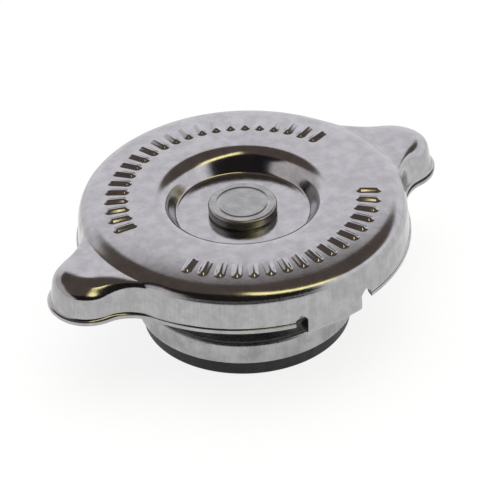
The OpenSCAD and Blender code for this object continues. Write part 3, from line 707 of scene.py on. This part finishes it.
def valveCup():
    # boss round the eyelet, floor, wall and a top edge folded in; out along one face, back on the other
    s = cup
    t, e = s["sheet"], s["edge"]
    inner = e - t
    bossZ = cupZ + s["bossRise"]
    path = bentPath([
        (s["holeR"], bossZ, 0.05), (s["bossInR"], bossZ, 0.12), (s["bossInR"], cupZ, 0.3),
        (s["r"], cupZ, e), (s["r"], cupTop, e), (s["foldR"], cupTop, 0.2),
        (s["foldR"], cupTop - t, 0.1), (s["r"] - t, cupTop - t, inner), (s["r"] - t, cupZ + t, inner),
        (s["bossInR"] + t, cupZ + t, 0.12), (s["bossInR"] + t, bossZ + t, 0.3),
        (s["holeR"], bossZ + t, 0.05)])
    return lathePiece("valveCup", path, sides=288)


dress(valveCup(), "pressure_valve_assembly", "zinc_steel", cupZinc, "valve_cup")

seal = dict(r=radius("main_gasket"), bead=4.5, web=1.4, edge=0.45, neckR=7.48)


def mainGasket():
    # thick outer bead and a thin web that the retainer clamps
    s = seal
    low, high = heights("main_gasket")
    beadIn = s["r"] - s["bead"]
    path = bentPath([
        (s["neckR"], high - s["web"], 0.08), (beadIn, high - s["web"], 0.25), (beadIn, low, s["edge"]),
        (s["r"], low, s["edge"]), (s["r"], high, 0.12), (s["neckR"], high, 0.05)])
    return lathePiece("mainSeal", path, sides=288)


dress(mainGasket(), "pressure_valve_assembly", "rubber", rubber, "main_gasket")

retainer = dict(neckR=seal["neckR"] - 0.08, sheet=0.8, holeR=3.68)


def gasketRetainer():
    # a hat: top round the eyelet, neck and a brim that holds the web
    low, high = heights("gasket_retainer")
    r = radius("gasket_retainer")
    neck, t, hole = retainer["neckR"], retainer["sheet"], retainer["holeR"]
    path = bentPath([
        (hole, high, 0.05), (neck, high, 0.2), (neck, low + t, 0.15), (r, low + t, 0.2), (r, low, 0.25),
        (neck - t, low, 0.5), (neck - t, high - t, 0.25), (hole, high - t, 0.05)])
    return lathePiece("sealRetainer", path)


dress(gasketRetainer(), "pressure_valve_assembly", "zinc_steel", zinc, "gasket_retainer")

eyelet = dict(tubeR=3.6, sheet=0.6)


def valveEyelet():
    # a tube with a flange rolled out at each end
    low, high = heights("valve_eyelet")
    r, tube, t = radius("valve_eyelet"), eyelet["tubeR"], eyelet["sheet"]
    path = bentPath([
        (tube - t, low, 0.2), (r, low, 0.2), (r, low + t, 0.2), (tube, low + t, 0.05),
        (tube, high - t, 0.05), (r, high - t, 0.2), (r, high, 0.2), (tube - t, high, 0.3)], steps=4)
    return lathePiece("eyelet", path)


dress(valveEyelet(), "pressure_valve_assembly", "brass", brass, "valve_eyelet")

# Vacuum valve
disc = dict(stemR=1.1, tipR=1.6, dimpleR=1.8, dimple=0.4, holeR=1.18)


def vacuumValve():
    # a disc with a dimple below, a stem and an upset tip over the collar
    s = disc
    low, high = heights("vacuum_valve")
    r, sealZ, collarTop = radius("vacuum_valve"), heights("vacuum_seal")[0], heights("spring_collar")[1]
    path = bentPath([
        (0, low + s["dimple"], 0), (s["dimpleR"], low, 0.6), (r, low, 0.25), (r, sealZ, 0.2),
        (s["stemR"], sealZ, 0.05), (s["stemR"], collarTop, 0.03), (s["tipR"], collarTop, 0.15),
        (s["stemR"], high, 0.3), (0, high, 0)], closed=False)
    return lathePiece("vacuumDisc", path)


dress(vacuumValve(), "vacuum_valve_assembly", "brass", brass, "vacuum_valve")
dress(plainRing("vacuumSealRing", "vacuum_seal", disc["holeR"], 0.1), "vacuum_valve_assembly", "rubber",
      rubber, "vacuum_seal")
dress(plainRing("springCollar", "spring_collar", disc["holeR"], 0.12), "vacuum_valve_assembly", "brass",
      brass, "spring_collar")

# Springs, each as long as its CAD node
springs = dict(mainWire=1.8, mainTurns=3, lift=2.0, vacuumWire=0.5, vacuumTurns=3, opening=1.4,
               endRise=1.03, steps=72, sides=20)  # end turn's rise in wires, points per turn and wire


def coilSpring(name, node, wire, turns):
    # a round wire along a helix; its end turns lie flat on their neighbours
    low, high = heights(node)
    coilR = radius(node) - wire / 2
    closedRise = wire * springs["endRise"]
    pitch = (high - low - wire - 2 * closedRise) / turns
    t = np.linspace(0, turns + 2, (turns + 2) * springs["steps"] + 1)[:, None]
    rise = (np.minimum(t, 1) * closedRise + np.clip(t - 1, 0, turns) * pitch
            + np.maximum(t - 1 - turns, 0) * closedRise)
    a = np.linspace(0, 2 * math.pi, springs["sides"], endpoint=False)[None, :]
    r = coilR + wire / 2 * np.cos(a)
    z = low + wire / 2 + rise + wire / 2 * np.sin(a)
    turn = 2 * math.pi * t
    points = np.stack([r * np.cos(turn), r * np.sin(turn), z], -1)
    rows, cols = points.shape[:2]
    ends = points[[0, -1]].mean(1)
    faces = [gridFaces(rows, cols, False, True), endFaces(rows, cols)]
    return buildPiece(name, np.vstack([points.reshape(-1, 3), ends]), faces), high - low


mainCoil, mainHigh = coilSpring("mainCoil", "main_spring", springs["mainWire"], springs["mainTurns"])
dress(mainCoil, "bell_assembly", "spring_steel", springSteel, "main_spring")
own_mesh(mainCoil)
vacuumCoil, vacuumHigh = coilSpring("vacuumCoil", "vacuum_spring", springs["vacuumWire"],
                                    springs["vacuumTurns"])
dress(vacuumCoil, "pressure_valve_assembly", "spring_steel", springSteel, "vacuum_spring")
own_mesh(vacuumCoil)

# The bell keeps its CAD node, with its vent holes
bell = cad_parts["bell_housing"]
bell.data.materials.clear()
bell.data.materials.append(zinc)
print("turned pieces and springs built")

# Camera
eye = dict(elevation=35.73, azimuth=-33.5, roll=-2.46, pixelsPerMm=5.627, frameSide=480.0,
           target=(0, 0, 12.0), targetPixel=(244.9, 258.1), distance=1000.0, sensor=36.0,
           clip=(0.01, 50.0))


def placeCamera():
    # the target falls on its pixel of the square frame; the long lens keeps lines nearly parallel
    s = eye
    up, spin = math.radians(s["elevation"]), math.radians(s["roll"])
    forward = Vector((0, math.cos(up), -math.sin(up)))
    right = Vector((1, 0, 0))
    above = right.cross(forward)
    rightTurned = math.cos(spin) * right + math.sin(spin) * above
    aboveTurned = -math.sin(spin) * right + math.cos(spin) * above
    turn = Matrix.Rotation(math.radians(s["azimuth"]), 3, "Z")
    forward, right, above = turn @ forward, turn @ rightTurned, turn @ aboveTurned
    middle = s["frameSide"] / 2
    offX = (s["targetPixel"][0] - middle) / s["pixelsPerMm"]
    offY = (s["targetPixel"][1] - middle) / s["pixelsPerMm"]
    place = (Vector(s["target"]) - s["distance"] * forward - offX * right + offY * above) * mm
    lens = bpy.data.cameras.new("photoCamera")
    lens.sensor_width = s["sensor"]
    lens.lens = s["sensor"] * s["pixelsPerMm"] * s["distance"] / s["frameSide"]
    lens.clip_start, lens.clip_end = s["clip"]
    camera = bpy.data.objects.new("photoCamera", lens)
    columns = (right, above, -forward, place)
    camera.matrix_world = Matrix([[c[k] for c in columns] for k in range(3)] + [[0, 0, 0, 1]])
    bpy.context.scene.collection.objects.link(camera)
    bpy.context.scene.camera = camera
    return turn @ Vector((0, 1, 0)), turn @ Vector((1, 0, 0))


farWay, rightWay = placeCamera()
print("camera placed")

# Room that the metal mirrors: pale walls, dimmer at left, a brown ceiling whose edge drops to the
# sides, a warm lamp along that edge and a dark side behind the camera; angles are in degrees
room = dict(
    wall=(1.2, 1.18, 1.25, 1), white=(1, 1, 1, 1),
    leftWall=(0.8, 0.755, 0.76, 1), leftFrom=-138.0, leftTo=-40.0, leftSoft=16.0,
    ceiling=(0.14, 0.11, 0.095, 1), farEdge=44.5, nearEdge=71.0, leftDrop=10.0, rightDrop=24.0,
    soft=4.2, dark=(0.022, 0.019, 0.02, 1), darkFrom=-44.0, darkTo=50.0, darkSoft=8.0, darkLean=1.3,
    darkLeanFrom=19.0, lamp=(2.5, 2.25, 1.1, 1), lampFrom=0.0, lampTo=66.0, lampSoft=10.0,
    lampBelow=7.0, lampAbove=11.0, lampEdge=3.5, overOne=1.0001)  # overOne keeps the root above zero


def buildRoom():
    # colours by the rise of a ray over the horizon and its turn, 0 towards the camera
    s = room
    world = bpy.data.worlds.new("room")
    bpy.context.scene.world = world
    world.use_nodes = True
    tree = world.node_tree
    way = addNode(tree, "ShaderNodeTexCoord").outputs["Generated"]
    high = addNode(tree, "ShaderNodeSeparateXYZ", {0: way}).outputs[2]
    far, side = (addNode(tree, "ShaderNodeVectorMath", {0: way, 1: tuple(v)},
                         operation="DOT_PRODUCT").outputs["Value"] for v in (farWay, rightWay))
    rise = sumOf(tree, "DEGREES", sumOf(tree, "ARCSINE", high))
    turn = sumOf(tree, "DEGREES", sumOf(tree, "ARCTAN2", side, sumOf(tree, "MULTIPLY", far, -1.0)))
    flat = sumOf(tree, "SUBTRACT", s["overOne"], sumOf(tree, "MULTIPLY", high, high))
    level = sumOf(tree, "SQRT", flat)
    near = rampOf(tree, sumOf(tree, "DIVIDE", far, level), 1.0, -1.0, smooth=False)
    edge = rampOf(tree, sumOf(tree, "MULTIPLY", near, near), 0.0, 1.0, s["farEdge"], s["nearEdge"],
                  smooth=False)
    aside = sumOf(tree, "DIVIDE", side, level)
    edge = sumOf(tree, "MULTIPLY_ADD", sumOf(tree, "MINIMUM", aside, 0.0), s["leftDrop"], edge)
    edge = sumOf(tree, "MULTIPLY_ADD", sumOf(tree, "MAXIMUM", aside, 0.0), -s["rightDrop"], edge)
    over = sumOf(tree, "SUBTRACT", rise, edge)
    higher = sumOf(tree, "MAXIMUM", sumOf(tree, "SUBTRACT", rise, s["darkLeanFrom"]), 0.0)
    leaning = sumOf(tree, "MULTIPLY_ADD", higher, s["darkLean"], turn)
    started = rampOf(tree, leaning, s["darkFrom"] - s["darkSoft"], s["darkFrom"] + s["darkSoft"])
    ended = rampOf(tree, turn, s["darkTo"] + s["darkSoft"], s["darkTo"] - s["darkSoft"])
    dark = sumOf(tree, "MULTIPLY", started, ended)
    left = bandOf(tree, turn, s["leftFrom"], s["leftTo"], s["leftSoft"])
    walls = mixOf(tree, dark, mixOf(tree, left, s["wall"], s["leftWall"]), s["dark"])
    inside = mixOf(tree, rampOf(tree, over, -s["soft"], s["soft"]), walls, s["ceiling"])
    lit = sumOf(tree, "MULTIPLY", bandOf(tree, turn, s["lampFrom"], s["lampTo"], s["lampSoft"]),
                bandOf(tree, over, -s["lampBelow"], s["lampAbove"], s["lampEdge"]))
    inside = mixOf(tree, lit, inside, s["lamp"])
    seen = addNode(tree, "ShaderNodeLightPath").outputs["Is Camera Ray"]
    colour = mixOf(tree, seen, inside, s["white"])
    shown = tree.nodes["Background"]
    tree.links.new(colour, shown.inputs["Color"])
    shown.inputs["Strength"].default_value = 1.0


buildRoom()

# Floor and the soft light above it
stage = dict(floorHalf=2.0, floorGlow=0.86, floorDrop=0.0002, floorTone=(0.88, 0.91), floorRough=0.9,
             floorShine=0.1, speckScale=300.0, speckDetail=2.0, speckSpan=(0.3, 0.7),
             lightSide=1.1, lightHigh=0.9, lightPower=9.5)  # metres and watts


def layFloor():
    # pale floor, nearly white to the camera and in the metal, and clear from below
    half = stage["floorHalf"]
    mesh = bpy.data.meshes.new("floor")
    z = -stage["floorDrop"]
    mesh.from_pydata([(-half, -half, z), (half, -half, z), (half, half, z), (-half, half, z)], [],
                     [(0, 1, 2, 3)])
    floor = bpy.data.objects.new("floor", mesh)
    material, tree, shader = newMaterial("paleFloor")
    place = addNode(tree, "ShaderNodeTexCoord").outputs["Object"]
    speck = addNode(tree, "ShaderNodeTexNoise", {
        "Vector": place, "Scale": stage["speckScale"], "Detail": stage["speckDetail"]})
    tone = rampOf(tree, speck.outputs["Fac"], *stage["speckSpan"], *stage["floorTone"])
    tree.links.new(tone, shader.inputs["Base Color"])
    shader.inputs["Roughness"].default_value = stage["floorRough"]
    shader.inputs["Specular IOR Level"].default_value = stage["floorShine"]
    path = addNode(tree, "ShaderNodeLightPath").outputs
    seen = sumOf(tree, "MAXIMUM", path["Is Camera Ray"], path["Is Glossy Ray"])
    seen = sumOf(tree, "MAXIMUM", seen, path["Is Transmission Ray"])
    white = addNode(tree, "ShaderNodeEmission", {"Color": (1, 1, 1, 1), "Strength": 1.0})
    glow = sumOf(tree, "MULTIPLY", seen, stage["floorGlow"])
    blend = addNode(tree, "ShaderNodeMixShader", {0: glow, 1: shader.outputs[0], 2: white.outputs[0]})
    below = addNode(tree, "ShaderNodeNewGeometry").outputs["Backfacing"]
    clear = addNode(tree, "ShaderNodeBsdfTransparent")
    oneSided = addNode(tree, "ShaderNodeMixShader", {
        0: below, 1: blend.outputs[0], 2: clear.outputs[0]})
    tree.links.new(oneSided.outputs[0], tree.nodes["Material Output"].inputs["Surface"])
    mesh.materials.append(material)
    bpy.context.scene.collection.objects.link(floor)


def hangLight():  # a wide soft disc that the metal doesn't mirror
    lamp = bpy.data.lights.new("softTop", "AREA")
    lamp.shape, lamp.size, lamp.energy = "DISK", stage["lightSide"], stage["lightPower"]
    light = bpy.data.objects.new("softTop", lamp)
    light.location = (0, 0, stage["lightHigh"])
    light.visible_glossy = False
    bpy.context.scene.collection.objects.link(light)


layFloor()
hangLight()
print("room, floor and light made")
bpy.context.scene.view_settings.view_transform = "Standard"
